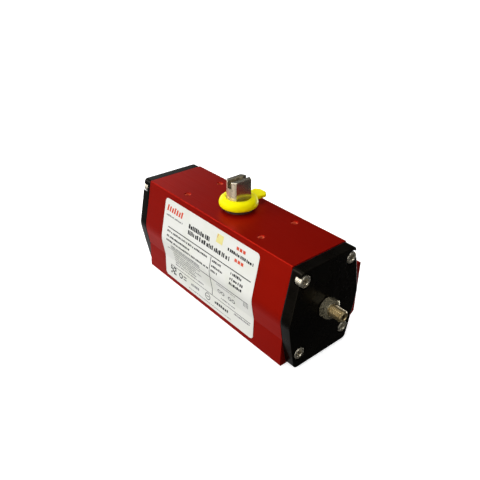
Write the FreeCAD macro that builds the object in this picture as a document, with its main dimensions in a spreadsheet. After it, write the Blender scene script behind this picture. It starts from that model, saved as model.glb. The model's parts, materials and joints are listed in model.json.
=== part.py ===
import FreeCAD, Part
import math
import os
import Sketcher

# Rotary pneumatic actuator: a double-acting quarter-turn unit with two pistons and a scotch yoke.
# Millimetres. +Z up along the drive shaft, X along the cylinder bore, +Y towards the air ports.
# The origin is the centre of the bottom mounting face. The unit stands in its closed position.

Vector = FreeCAD.Vector

# ---------------------------------------------------------------- driving dimensions

CELLS = {
    # housing extrusion: half-widths are measured from the centre plane, heights from the base
    "housing_length": 154.0, "housing_height": 75.0, "edge_break": 0.7,
    "top_half_width": 23.6, "belly_half_width": 31.4, "belly_height": 38.0, "belly_radius": 19.0,
    "crease_half_width": 28.6, "crease_height": 22.0, "crease_radius": 3.0,
    "base_half_width": 29.2, "base_radius": 1.5,
    "port_pad_reach": 43.0, "port_pad_top": 51.0, "port_pad_bottom": 7.6, "port_pad_chamfer": 2.8,
    "bore_radius": 27.5, "bore_axis": 40.0,
    # end caps and their gaskets
    "gasket_thickness": 0.5, "gasket_inset": 0.3, "cap_thickness": 8.0, "cap_edge": 0.8,
    "cap_top": 74.5, "cap_top_half": 23.9, "cap_belly_half": 31.5, "cap_knee_half": 28.2,
    "cap_knee_height": 20.0, "cap_base_half": 24.4, "cap_bottom": 1.3,
    "cap_corner_radius": 2.5, "cap_foot_radius": 3.2, "cap_belly_radius": 14.0,
    "cap_recess_radius": 25.0, "cap_boss_radius": 8.0, "cap_recess_depth": 2.0,
    # cap screws, M5 socket head
    "cap_screw_half_spacing": 20.7, "cap_screw_low": 12.3, "cap_screw_high": 67.3,
    "cap_screw_radius": 2.5, "cap_screw_length": 18.0, "cap_screw_hole_radius": 2.75,
    "screw_head_radius": 4.25, "screw_head_height": 5.0, "screw_socket": 4.0, "screw_socket_depth": 2.6,
    "screw_head_edge": 0.4, "counterbore_radius": 5.1, "counterbore_depth": 5.0,
    # stroke stop screws, M8, with lock nut and seal
    "stop_screw_radius": 3.95, "stop_hole_radius": 4.0, "stop_screw_tip": 73.5, "stop_screw_end": 100.5,
    "stop_screw_socket": 4.0, "stop_socket_depth": 5.0, "stop_screw_edge": 0.7,
    "nut_across_flats": 13.0, "nut_thickness": 6.0, "nut_bevel": 0.9,
    "stop_seal_recess_radius": 5.9, "stop_seal_recess_depth": 1.9,
    "stop_seal_mid_radius": 4.93, "stop_seal_section": 0.88,
    # drive shaft
    "shaft_bottom": 0.6, "journal_radius": 13.0, "journal_top": 26.0, "stem_radius": 8.5, "stem_top": 97.0,
    "drive_square": 14.1, "drive_square_depth": 16.5, "flats_width": 10.8, "flats_start": 77.2,
    "slot_width": 4.0, "slot_depth": 5.0, "centre_hole_radius": 2.5, "centre_hole_depth": 14.0,
    "stem_edge": 0.5, "tool_overrun": 1.5,
    "clip_groove_radius": 8.1, "clip_groove_bottom": 76.1, "clip_groove_width": 1.1,
    # bearings, seals and washers round the shaft
    "lower_lip_radius": 13.6, "lower_lip_height": 2.5, "lower_seat_radius": 15.0,
    "lower_bearing_top": 9.0, "lower_seal_height": 10.3, "lower_seal_mid_radius": 14.01,
    "upper_lip_radius": 9.6, "upper_lip_start": 73.8, "upper_seat_radius": 10.5,
    "upper_bearing_bottom": 70.2,
    "upper_seal_height": 69.2, "upper_seal_mid_radius": 9.52, "shaft_seal_section": 0.94,
    "running_gap": 0.05, "spot_face_radius": 13.0, "spot_face_height": 68.0,
    "washer_thickness": 1.0, "washer_radius": 12.5, "washer_gap": 0.1, "outer_washer_radius": 11.0,
    # retaining ring
    "clip_outer_radius": 10.5, "clip_offset": 0.3, "clip_thickness": 1.0, "clip_lug_radius": 1.9,
    "clip_lug_hole": 0.8, "clip_lug_reach": 10.1, "clip_lug_side": 3.2, "clip_hole_side": 3.4,
    "clip_gap_half": 2.2,
    # scotch yoke and its pin
    "pin_offset": 16.0, "yoke_bottom": 34.0, "yoke_thickness": 12.0, "yoke_hub_radius": 15.0,
    "yoke_reach": 25.6, "yoke_tip_half": 6.4, "yoke_shoulder": 23.4, "yoke_half_width": 11.5,
    "yoke_slot_half": 5.9, "yoke_slot_start": 16.7, "yoke_sleeve_radius": 10.2, "yoke_sleeve_top": 66.9,
    "yoke_pin_radius": 2.5, "yoke_pin_half_length": 14.5,
    # pistons: the head runs from piston_inner to piston_outer at the closed position
    "piston_inner": 27.5, "piston_outer": 43.5, "piston_radius": 27.2, "piston_start": -14.95,
    "band_groove_start": 30.0, "band_groove_end": 36.0, "band_groove_radius": 26.2, "band_radius": 27.45,
    "seal_groove_start": 38.2, "seal_groove_end": 42.1, "seal_groove_radius": 24.2,
    "seal_mid_radius": 25.85, "seal_section": 1.6,
    "piston_recess_depth": 3.0, "piston_recess_radius": 20.0, "piston_boss_radius": 9.0,
    "arm_tip": 6.0, "arm_inner": 10.5, "arm_outer": 22.0, "arm_bottom": 27.0, "arm_top": 53.0,
    "arm_gap_bottom": 33.5, "arm_gap_top": 46.5, "arm_corner_radius": 4.0, "arm_overlap": 0.5,
    "piston_pin_radius": 3.0, "piston_pin_edge": 0.4, "roller_radius": 5.0,
    # position indicator
    "ring_bottom": 77.2, "ring_top": 84.1, "ring_radius": 13.8, "ring_bore": 8.6, "ring_low_round": 2.2,
    "ring_high_round": 4.1, "ring_inner_round": 0.8, "rib_gap": 0.1, "rib_end": 9.4, "rib_half": 5.0,
    "rib_height": 2.6, "pointer_bottom": 79.2, "pointer_top": 81.9, "pointer_root_half": 5.4,
    "pointer_root": 10.8, "pointer_half": 6.4, "pointer_shoulder": 20.2, "pointer_tip_half": 3.0,
    "pointer_tip": 23.0, "pointer_corner": 2.4, "pointer_round": 0.9,
    # mounting patterns
    "small_flange_circle": 50.0, "small_flange_hole": 2.5, "small_flange_depth": 9.0,
    "large_flange_circle": 70.0, "large_flange_hole": 3.4, "large_flange_depth": 12.0,
    "top_hole_half_x": 40.0, "top_hole_half_y": 15.0, "top_hole_radius": 2.1, "top_hole_depth": 9.0,
    "port_half_spacing": 12.0, "port_height": 30.0, "port_radius": 5.75, "port_depth": 12.0,
    "port_screw_half_x": 16.0, "port_screw_half_z": 12.0, "port_screw_radius": 2.1, "port_screw_depth": 8.0,
    "hole_countersink": 0.5, "duct_overrun": 2.0, "cross_overrun": 0.7,
    "inner_duct_radius": 2.5, "outer_duct_radius": 2.0, "cross_duct_radius": 1.5,
    "duct_side": 25.2, "duct_height": 22.5, "cross_duct_height": 25.0, "duct_run": 5.5,
    # name plate, a thin sheet wrapped over the near side
    "plate_start": -54.0, "plate_end": 50.5, "plate_low": 4.7, "plate_high": 70.5,
    "plate_thickness": 0.2, "plate_corner": 3.0,
}


class Size:
    """A length kept both as a number and as the formula over the sheet's cells that gives it."""

    def __init__(self, value, text):
        self.value = value
        self.text = text

    def _join(self, sign, other, value):
        text = other.text if isinstance(other, Size) else repr(float(other))
        return Size(value, f"({self.text} {sign} {text})")

    def __add__(self, other):
        return self._join("+", other, self.value + number(other))

    def __sub__(self, other):
        return self._join("-", other, self.value - number(other))

    def __mul__(self, factor):
        return self._join("*", factor, self.value * factor)

    def __truediv__(self, factor):
        return self._join("/", factor, self.value / factor)

    def __neg__(self):
        return self * -1.0


def number(size):
    """The plain number behind a Size, or the number itself."""
    return size.value if isinstance(size, Size) else float(size)


class Dimensions:
    """The spreadsheet of driving dimensions, with each cell also at hand as a Size."""

    def __init__(self, document):
        self.sheet = document.addObject("Spreadsheet::Sheet", "dims")
        for row, (alias, value) in enumerate(CELLS.items(), start=1):
            self.sheet.set(f"A{row}", alias)
            self.sheet.set(f"B{row}", str(value))
            self.sheet.setAlias(f"B{row}", alias)
            setattr(self, alias, Size(value, f"dims.{alias}"))


doc = FreeCAD.newDocument("rotary_actuator")
d = Dimensions(doc)
doc.recompute()

housing_half = d.housing_length / 2
cap_inner = housing_half + d.gasket_thickness
cap_face = cap_inner + d.cap_thickness
pin_x = d.piston_start
cap_screw_spots = [(d.cap_screw_half_spacing * side, height)
                   for side in (-1, 1) for height in (d.cap_screw_low, d.cap_screw_high)]

# ---------------------------------------------------------------- building helpers

NODES = []
# how near, in millimetres, an edge has to lie to a named place to be taken as the one meant
NEAR = 0.02
# the yoke, its pin and the pin's hole stand at this angle while the unit is closed
YOKE_REST_ANGLE = 45.0
CORNERS = ((1, 1), (1, -1), (-1, 1), (-1, -1))


def bind(thing, prop, size):
    """Tie a property to the sheet when its size comes from there."""
    if isinstance(size, Size):
        thing.setExpression(prop, size.text)
    else:
        setattr(thing, prop, size)


def new_body(label, turn=0.0):
    """A PartDesign body for one node, turned about the drive axis by so many degrees."""
    body = doc.addObject("PartDesign::Body", label)
    body.Label = label
    body.AllowCompound = True
    body.Placement = FreeCAD.Placement(Vector(0, 0, 0), FreeCAD.Rotation(Vector(0, 0, 1), turn))
    NODES.append(body)
    return body


def new_sketch(body, role, out=None, up=None):
    """A sketch on one of the body's origin planes: out along its normal, up along its second axis."""
    sketch = body.newObject("Sketcher::SketchObject", f"{body.Name}_sketch")
    plane = next(item for item in body.Origin.OriginFeatures if item.Role == role)
    sketch.AttachmentSupport = [(plane, "")]
    sketch.MapMode = "FlatFace"
    if out is not None:
        sketch.setExpression("AttachmentOffset.Base.z", out.text)
    if up is not None:
        sketch.setExpression("AttachmentOffset.Base.y", up.text)
    return sketch


def pin_point(sketch, geometry, end, x, y):
    """Hold one point of a sketch at x, y from the sketch's origin."""
    for kind, size, axis in (("DistanceX", x, -2), ("DistanceY", y, -1)):
        if number(size) == 0.0:
            sketch.addConstraint(Sketcher.Constraint("PointOnObject", geometry, end, axis))
            continue
        index = sketch.addConstraint(Sketcher.Constraint(kind, -1, 1, geometry, end, number(size)))
        if isinstance(size, Size):
            sketch.setExpression(f"Constraints[{index}]", size.text)


def draw_circle(sketch, x, y, radius):
    centre = Vector(number(x), number(y), 0)
    geometry = sketch.addGeometry(Part.Circle(centre, Vector(0, 0, 1), number(radius)))
    index = sketch.addConstraint(Sketcher.Constraint("Radius", geometry, number(radius)))
    if isinstance(radius, Size):
        sketch.setExpression(f"Constraints[{index}]", radius.text)
    pin_point(sketch, geometry, 3, x, y)


def draw_outline(sketch, points):
    """A closed outline of straight lines through the given points."""
    spots = [Vector(number(x), number(y), 0) for x, y in points]
    lines = [sketch.addGeometry(Part.LineSegment(a, b)) for a, b in zip(spots, spots[1:] + spots[:1])]
    for line, following in zip(lines, lines[1:] + lines[:1]):
        sketch.addConstraint(Sketcher.Constraint("Coincident", line, 2, following, 1))
    for line, (x, y) in zip(lines, points):
        pin_point(sketch, line, 1, x, y)


def box_points(x0, x1, y0, y1):
    return [(x0, y0), (x1, y0), (x1, y1), (x0, y1)]


def draw_rounded_box(sketch, x0, x1, y0, y1, rounds):
    """A box whose corners, from the lower left one round, have the given radii, or none where it is 0."""
    corners = []
    for index, radius in enumerate(rounds):
        x, inward_x = (x0, 1) if index in (0, 3) else (x1, -1)
        y, inward_y = (y0, 1) if index < 2 else (y1, -1)
        beside = (x, y + radius * inward_y) if radius else (x, y)
        along = (x + radius * inward_x, y) if radius else (x, y)
        # going round, the corners are met from the side first at 0 and 2, and from along first at 1 and 3
        arrive, leave = (beside, along) if index in (0, 2) else (along, beside)
        arc = None
        if radius:
            centre = Vector(number(x + radius * inward_x), number(y + radius * inward_y), 0)
            circle = Part.Circle(centre, Vector(0, 0, 1), number(radius))
            start = math.pi + index * math.pi / 2
            arc = sketch.addGeometry(Part.ArcOfCircle(circle, start, start + math.pi / 2))
            pin_point(sketch, arc, 1, *arrive)
            pin_point(sketch, arc, 2, *leave)
            size = sketch.addConstraint(Sketcher.Constraint("Radius", arc, number(radius)))
            sketch.setExpression(f"Constraints[{size}]", radius.text)
        corners.append((arrive, leave))
    for (_, leave), (arrive, _) in zip(corners, corners[1:] + corners[:1]):
        spots = [Vector(number(x), number(y), 0) for x, y in (leave, arrive)]
        line = sketch.addGeometry(Part.LineSegment(*spots))
        pin_point(sketch, line, 1, *leave)
        pin_point(sketch, line, 2, *arrive)


def hexagon_points(across, x=0.0, y=0.0):
    """A hexagon with corners up and down, of the given width across its flats."""
    reach = across / math.sqrt(3)
    angles = [math.radians(60 * corner + 30) for corner in range(6)]
    return [(reach * math.cos(angle) + x, reach * math.sin(angle) + y) for angle in angles]


def finish_feature(body, feature, change):
    """Recompute, and stop if the feature failed or didn't change the volume the way it should."""
    before = body.Shape.Volume if not body.Shape.isNull() else 0.0
    doc.recompute()
    gained = body.Shape.Volume - before
    if "Invalid" in feature.State or "Error" in feature.State or gained * change <= 0:
        raise RuntimeError(f"{body.Label}: {feature.Name} failed, volume change {gained:.3f}")
    return feature


def pad(body, sketch, length, both_sides=False):
    feature = body.newObject("PartDesign::Pad", f"{body.Name}_pad")
    feature.Profile = sketch
    bind(feature, "Length", length)
    if both_sides:
        feature.SideType = "Symmetric"
    return finish_feature(body, feature, 1)


def pocket(body, sketch, depth=None, along_normal=False):
    """Cut the sketch through everything, or to a depth against (or along) the sketch's normal."""
    feature = body.newObject("PartDesign::Pocket", f"{body.Name}_pocket")
    feature.Profile = sketch
    if depth is None:
        feature.Type = "ThroughAll"
        feature.SideType = "Symmetric"
    else:
        bind(feature, "Length", depth)
        feature.Reversed = along_normal
    return finish_feature(body, feature, -1)


def turned(body, sketch, axis, groove=False):
    """A full revolution, or a groove, about the sketch's own H or V axis."""
    kind = "PartDesign::Groove" if groove else "PartDesign::Revolution"
    feature = body.newObject(kind, f"{body.Name}_turned")
    feature.Profile = sketch
    feature.ReferenceAxis = (sketch, [axis])
    feature.Angle = 360.0
    return finish_feature(body, feature, -1 if groove else 1)


def edge_names(shape, test):
    return [f"Edge{index}" for index, edge in enumerate(shape.Edges, start=1) if test(edge)]


def dress(body, kind, prop, size, test):
    """A fillet or chamfer on every edge that the test picks."""
    base = body.Tip
    names = edge_names(base.Shape, test)
    if not names:
        raise RuntimeError(f"{body.Label}: no edge to dress")
    feature = body.newObject(f"PartDesign::{kind}", f"{body.Name}_{kind.lower()}")
    feature.Base = (base, names)
    bind(feature, prop, size)
    doc.recompute()
    if "Invalid" in feature.State or not feature.Shape.isValid():
        raise RuntimeError(f"{body.Label}: {kind} failed")
    return feature


def straight_at(spots, axis):
    """A test for straight edges along X, Y or Z that pass through one of the given spots."""
    first, second = [name for name in "xyz" if name != axis]

    def test(edge):
        ends = [vertex.Point for vertex in edge.Vertexes]
        if len(ends) != 2:
            return False
        return any(all(abs(getattr(end, first) - u) < NEAR and abs(getattr(end, second) - v) < NEAR
                       for end in ends) for u, v in spots)
    return test


def in_plane(axis, value):
    """A test for edges that lie wholly in one plane across X, Y or Z."""
    ends = (f"{axis.upper()}Min", f"{axis.upper()}Max")
    return lambda edge: all(abs(getattr(edge.BoundBox, end) - value) < NEAR for end in ends)


def round_edges(*radii):
    """A test for circular edges of one of the given radii."""
    return lambda edge: isinstance(edge.Curve, Part.Circle) and any(
        abs(edge.Curve.Radius - radius) < NEAR for radius in radii)


def either(*tests):
    return lambda edge: any(test(edge) for test in tests)


def both(*tests):
    return lambda edge: all(test(edge) for test in tests)


def ring(label, inner, outer, bottom, top):
    """A plain ring about the drive axis."""
    body = new_body(label)
    sketch = new_sketch(body, "XZ_Plane")
    draw_outline(sketch, box_points(inner, outer, bottom, top))
    turned(body, sketch, "V_Axis")
    return body


def seal_ring(label, mid_radius, section, height):
    """An O-ring about the drive axis."""
    body = new_body(label)
    sketch = new_sketch(body, "XZ_Plane")
    draw_circle(sketch, mid_radius, height, section)
    turned(body, sketch, "V_Axis")
    return body


# ---------------------------------------------------------------- housing

def build_housing():
    body = new_body("housing")
    profile = new_sketch(body, "YZ_Plane")
    near_side = [(-d.base_half_width, 0.0), (-d.crease_half_width, d.crease_height),
                 (-d.belly_half_width, d.belly_height), (-d.top_half_width, d.housing_height)]
    # the air-connection pad grows out of the far side, level on top and chamfered below
    rise = d.housing_height.value - d.belly_height.value
    slope = (d.belly_half_width.value - d.top_half_width.value) / rise
    pad_root = d.top_half_width + (d.housing_height - d.port_pad_top) * slope
    far_side = [(d.top_half_width, d.housing_height), (pad_root, d.port_pad_top),
                (d.port_pad_reach, d.port_pad_top),
                (d.port_pad_reach, d.port_pad_bottom + d.port_pad_chamfer),
                (d.port_pad_reach - d.port_pad_chamfer, d.port_pad_bottom),
                (d.base_half_width, d.port_pad_bottom), (d.base_half_width, 0.0)]
    draw_outline(profile, near_side + far_side)
    pad(body, profile, d.housing_length, both_sides=True)

    dress(body, "Fillet", "Radius", d.belly_radius,
          straight_at([(-d.belly_half_width.value, d.belly_height.value)], "x"))
    dress(body, "Fillet", "Radius", d.crease_radius,
          straight_at([(-d.crease_half_width.value, d.crease_height.value)], "x"))
    dress(body, "Fillet", "Radius", d.base_radius,
          straight_at([(-d.base_half_width.value, 0), (d.base_half_width.value, 0)], "x"))
    dress(body, "Fillet", "Radius", d.edge_break,
          straight_at([(-d.top_half_width.value, d.housing_height.value),
                       (d.top_half_width.value, d.housing_height.value),
                       (d.port_pad_reach.value, d.port_pad_top.value)], "x"))

    bore = new_sketch(body, "YZ_Plane")
    draw_circle(bore, 0.0, d.bore_axis, d.bore_radius)
    pocket(body, bore)
    drill_shaft_holes(body)
    drill_mounting_holes(body)
    drill_air_ways(body)
    drill_cap_holes(body)


def drill_shaft_holes(body):
    """The stepped seats for the shaft's bearings and seals, and the spot face inside the top wall."""
    for radius, start, length in (
            (d.lower_lip_radius, None, d.lower_lip_height * 1.5),
            (d.lower_seat_radius, d.lower_lip_height, d.bore_axis / 2 - d.lower_lip_height),
            (d.spot_face_radius, d.bore_axis, d.spot_face_height - d.bore_axis),
            (d.upper_seat_radius, d.bore_axis, d.upper_lip_start - d.bore_axis),
            (d.upper_lip_radius, d.bore_axis, d.housing_height - d.bore_axis)):
        sketch = new_sketch(body, "XY_Plane", out=start)
        draw_circle(sketch, 0.0, 0.0, radius)
        pocket(body, sketch, length, along_normal=True)


def drill_mounting_holes(body):
    diagonal = math.sqrt(0.5) / 2
    for circle, radius, depth in (
            (d.small_flange_circle, d.small_flange_hole, d.small_flange_depth),
            (d.large_flange_circle, d.large_flange_hole, d.large_flange_depth)):
        sketch = new_sketch(body, "XY_Plane")
        for x, y in CORNERS:
            draw_circle(sketch, circle * (x * diagonal), circle * (y * diagonal), radius)
        pocket(body, sketch, depth, along_normal=True)
    top = new_sketch(body, "XY_Plane", out=d.housing_height)
    for x, y in CORNERS:
        draw_circle(top, d.top_hole_half_x * x, d.top_hole_half_y * y, d.top_hole_radius)
    pocket(body, top, d.top_hole_depth)
    dress(body, "Chamfer", "Size", d.hole_countersink, either(
        both(in_plane("z", d.housing_height.value), round_edges(d.top_hole_radius.value)),
        both(in_plane("z", 0.0), round_edges(d.small_flange_hole.value, d.large_flange_hole.value))))


def drill_air_ways(body):
    """Two ports on the pad: one feeds between the pistons, the other both outer chambers."""
    # the XZ plane's normal is -Y, so a sketch at -reach lies on the pad's face and cuts along its normal
    reach = -d.port_pad_reach
    ports = new_sketch(body, "XZ_Plane", out=reach)
    for side in (-1, 1):
        draw_circle(ports, d.port_half_spacing * side, d.port_height, d.port_radius)
    pocket(body, ports, d.port_depth, along_normal=True)
    screws = new_sketch(body, "XZ_Plane", out=reach)
    for x, z in CORNERS:
        spot = (d.port_screw_half_x * x, d.port_height + d.port_screw_half_z * z)
        draw_circle(screws, *spot, d.port_screw_radius)
    pocket(body, screws, d.port_screw_depth, along_normal=True)
    # both ducts start at the ports' floor
    floor = reach + d.port_depth
    remaining = d.port_pad_reach - d.port_depth - d.duct_side
    inner = new_sketch(body, "XZ_Plane", out=floor)
    draw_circle(inner, -d.port_half_spacing, d.port_height, d.inner_duct_radius)
    pocket(body, inner, remaining + d.duct_overrun, along_normal=True)
    cross = new_sketch(body, "XZ_Plane", out=floor)
    draw_circle(cross, d.port_half_spacing, d.cross_duct_height, d.cross_duct_radius)
    pocket(body, cross, remaining + d.cross_overrun, along_normal=True)
    duct = new_sketch(body, "YZ_Plane")
    draw_circle(duct, d.duct_side, d.duct_height, d.outer_duct_radius)
    pocket(body, duct)


def drill_cap_holes(body):
    reach = cap_face - d.counterbore_depth - d.cap_screw_length - d.tool_overrun
    for end in (1, -1):
        sketch = new_sketch(body, "YZ_Plane", out=housing_half * end)
        for spot in cap_screw_spots:
            draw_circle(sketch, *spot, d.cap_screw_radius)
        pocket(body, sketch, housing_half - reach, along_normal=end < 0)


# ---------------------------------------------------------------- end caps

def cap_outline(inset):
    """The six-sided outline of an end cap, drawn in by an inset."""
    half = [(d.cap_base_half - inset, d.cap_bottom + inset), (d.cap_knee_half - inset, d.cap_knee_height),
            (d.cap_belly_half - inset, d.belly_height), (d.cap_top_half - inset, d.cap_top - inset)]
    return half + [(-y, z) for y, z in reversed(half)]


def round_cap_corners(body, inset):
    """Round the corners of a cap-shaped plate, whose edges run along X."""
    for radius, half, height in (
            (d.cap_foot_radius, d.cap_base_half - inset, d.cap_bottom + inset),
            (d.cap_belly_radius, d.cap_belly_half - inset, d.belly_height),
            (d.cap_corner_radius, d.cap_top_half - inset, d.cap_top - inset)):
        spots = [(half.value, height.value), (-half.value, height.value)]
        dress(body, "Fillet", "Radius", radius, straight_at(spots, "x"))


def build_cap(side, turn):
    body = new_body(f"end_cap_{side}", turn)
    plate = new_sketch(body, "YZ_Plane", out=cap_inner)
    draw_outline(plate, cap_outline(0.0))
    pad(body, plate, d.cap_thickness)
    round_cap_corners(body, 0.0)
    dress(body, "Fillet", "Radius", d.cap_edge, in_plane("x", cap_face.value))

    recess = new_sketch(body, "YZ_Plane", out=cap_inner)
    draw_circle(recess, 0.0, d.bore_axis, d.cap_recess_radius)
    draw_circle(recess, 0.0, d.bore_axis, d.cap_boss_radius)
    pocket(body, recess, d.cap_recess_depth, along_normal=True)
    # a slanting way from the long duct to the recess, on both sides so that one cap serves both ends
    half_way = d.outer_duct_radius * math.sqrt(0.5)
    for hand in (1, -1):
        way = new_sketch(body, "YZ_Plane", out=cap_inner)
        corners = [(d.duct_side + half_way, d.duct_height + half_way),
                   (d.duct_side - half_way, d.duct_height - half_way),
                   (d.duct_side - half_way - d.duct_run, d.duct_height - half_way + d.duct_run),
                   (d.duct_side + half_way - d.duct_run, d.duct_height + half_way + d.duct_run)]
        draw_outline(way, [(y * hand, z) for y, z in corners])
        pocket(body, way, d.cap_recess_depth, along_normal=True)
    ends = new_sketch(body, "YZ_Plane", out=cap_inner)
    for hand in (1, -1):
        draw_circle(ends, d.duct_side * hand, d.duct_height, d.outer_duct_radius)
    pocket(body, ends, d.cap_recess_depth, along_normal=True)

    holes = new_sketch(body, "YZ_Plane")
    heads = new_sketch(body, "YZ_Plane", out=cap_face)
    for spot in cap_screw_spots:
        draw_circle(holes, *spot, d.cap_screw_hole_radius)
        draw_circle(heads, *spot, d.counterbore_radius)
    draw_circle(holes, 0.0, d.bore_axis, d.stop_hole_radius)
    pocket(body, holes)
    pocket(body, heads, d.counterbore_depth)
    seal_seat = new_sketch(body, "YZ_Plane", out=cap_face)
    draw_circle(seal_seat, 0.0, d.bore_axis, d.stop_seal_recess_radius)
    pocket(body, seal_seat, d.stop_seal_recess_depth)


def build_gasket(side, turn):
    body = new_body(f"cap_gasket_{side}", turn)
    sheet = new_sketch(body, "YZ_Plane", out=housing_half)
    draw_outline(sheet, cap_outline(d.gasket_inset))
    pad(body, sheet, d.gasket_thickness)
    round_cap_corners(body, d.gasket_inset)
    openings = new_sketch(body, "YZ_Plane")
    draw_circle(openings, 0.0, d.bore_axis, d.bore_radius)
    for hand in (1, -1):
        draw_circle(openings, d.duct_side * hand, d.duct_height, d.outer_duct_radius)
    for spot in cap_screw_spots:
        draw_circle(openings, *spot, d.cap_screw_hole_radius)
    pocket(body, openings)


def build_cap_screws(side, turn):
    """The four socket-head screws of one cap, as separate solids in one node."""
    body = new_body(f"cap_screws_{side}", turn)
    head_seat = cap_face - d.counterbore_depth
    shanks = new_sketch(body, "YZ_Plane", out=head_seat - d.cap_screw_length)
    heads = new_sketch(body, "YZ_Plane", out=head_seat)
    sockets = new_sketch(body, "YZ_Plane", out=head_seat + d.screw_head_height)
    for spot in cap_screw_spots:
        draw_circle(shanks, *spot, d.cap_screw_radius)
        draw_circle(heads, *spot, d.screw_head_radius)
        draw_outline(sockets, hexagon_points(d.screw_socket, *spot))
    pad(body, shanks, d.cap_screw_length)
    pad(body, heads, d.screw_head_height)
    pocket(body, sockets, d.screw_socket_depth)
    face = head_seat.value + d.screw_head_height.value
    rims = both(in_plane("x", face), lambda edge: isinstance(edge.Curve, Part.Circle))
    dress(body, "Fillet", "Radius", d.screw_head_edge, rims)


def build_stop_screw(side, turn):
    body = new_body(f"stop_screw_{side}", turn)
    shank = new_sketch(body, "YZ_Plane", out=d.stop_screw_tip)
    draw_circle(shank, 0.0, d.bore_axis, d.stop_screw_radius)
    pad(body, shank, d.stop_screw_end - d.stop_screw_tip)
    dress(body, "Chamfer", "Size", d.stop_screw_edge,
          either(in_plane("x", d.stop_screw_tip.value), in_plane("x", d.stop_screw_end.value)))
    socket = new_sketch(body, "YZ_Plane", out=d.stop_screw_end)
    draw_outline(socket, hexagon_points(d.stop_screw_socket, 0.0, d.bore_axis))
    pocket(body, socket, d.stop_socket_depth)


def build_stop_nut(side, turn):
    body = new_body(f"stop_nut_{side}", turn)
    hexagon = new_sketch(body, "YZ_Plane", out=cap_face)
    draw_outline(hexagon, hexagon_points(d.nut_across_flats, 0.0, d.bore_axis))
    pad(body, hexagon, d.nut_thickness)
    hole = new_sketch(body, "YZ_Plane")
    draw_circle(hole, 0.0, d.bore_axis, d.stop_hole_radius)
    pocket(body, hole)
    # bevel the six corners at the outer face
    bevel = new_sketch(body, "XZ_Plane", up=d.bore_axis)
    face = cap_face + d.nut_thickness
    corner = d.nut_across_flats / math.sqrt(3)
    outside = corner + d.tool_overrun
    draw_outline(bevel, [(face, corner - d.nut_bevel * 1.2), (face, outside),
                         (face - d.nut_bevel, outside)])
    turned(body, bevel, "H_Axis", groove=True)


def build_stop_seal(side, turn):
    body = new_body(f"stop_seal_{side}", turn)
    sketch = new_sketch(body, "XZ_Plane", up=d.bore_axis)
    middle = cap_face - d.stop_seal_recess_depth / 2
    draw_circle(sketch, middle, d.stop_seal_mid_radius, d.stop_seal_section)
    turned(body, sketch, "H_Axis")


# ---------------------------------------------------------------- shaft and what turns with it

def build_drive_shaft():
    body = new_body("drive_shaft")
    profile = new_sketch(body, "XZ_Plane")
    groove_top = d.clip_groove_bottom + d.clip_groove_width
    draw_outline(profile, [
        (0.0, d.shaft_bottom), (d.journal_radius, d.shaft_bottom), (d.journal_radius, d.journal_top),
        (d.stem_radius, d.journal_top), (d.stem_radius, d.clip_groove_bottom),
        (d.clip_groove_radius, d.clip_groove_bottom), (d.clip_groove_radius, groove_top),
        (d.stem_radius, groove_top), (d.stem_radius, d.stem_top), (0.0, d.stem_top)])
    turned(body, profile, "V_Axis")
    dress(body, "Chamfer", "Size", d.stem_edge, both(
        either(in_plane("z", d.stem_top.value), in_plane("z", d.shaft_bottom.value)),
        round_edges(d.stem_radius.value, d.journal_radius.value)))

    flats = new_sketch(body, "XY_Plane", out=d.flats_start)
    outside = d.stem_radius + d.tool_overrun
    for side in (1, -1):
        draw_outline(flats, box_points(d.flats_width * (side / 2), outside * side, -outside, outside))
    pocket(body, flats, d.stem_top - d.flats_start, along_normal=True)
    slot = new_sketch(body, "XY_Plane", out=d.stem_top)
    draw_outline(slot, box_points(-d.slot_width / 2, d.slot_width / 2, -outside, outside))
    pocket(body, slot, d.slot_depth)
    centre = new_sketch(body, "XY_Plane", out=d.stem_top)
    draw_circle(centre, 0.0, 0.0, d.centre_hole_radius)
    pocket(body, centre, d.centre_hole_depth)
    square = new_sketch(body, "XY_Plane", out=d.shaft_bottom)
    half = d.drive_square / 2
    draw_outline(square, box_points(-half, half, -half, half))
    pocket(body, square, d.drive_square_depth, along_normal=True)
    cross = new_sketch(body, "XZ_Plane")
    draw_circle(cross, 0.0, d.bore_axis, d.yoke_pin_radius)
    turn = FreeCAD.Rotation(Vector(0, 1, 0), YOKE_REST_ANGLE)
    cross.AttachmentOffset = FreeCAD.Placement(Vector(0, 0, 0), turn)
    pocket(body, cross)


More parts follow.
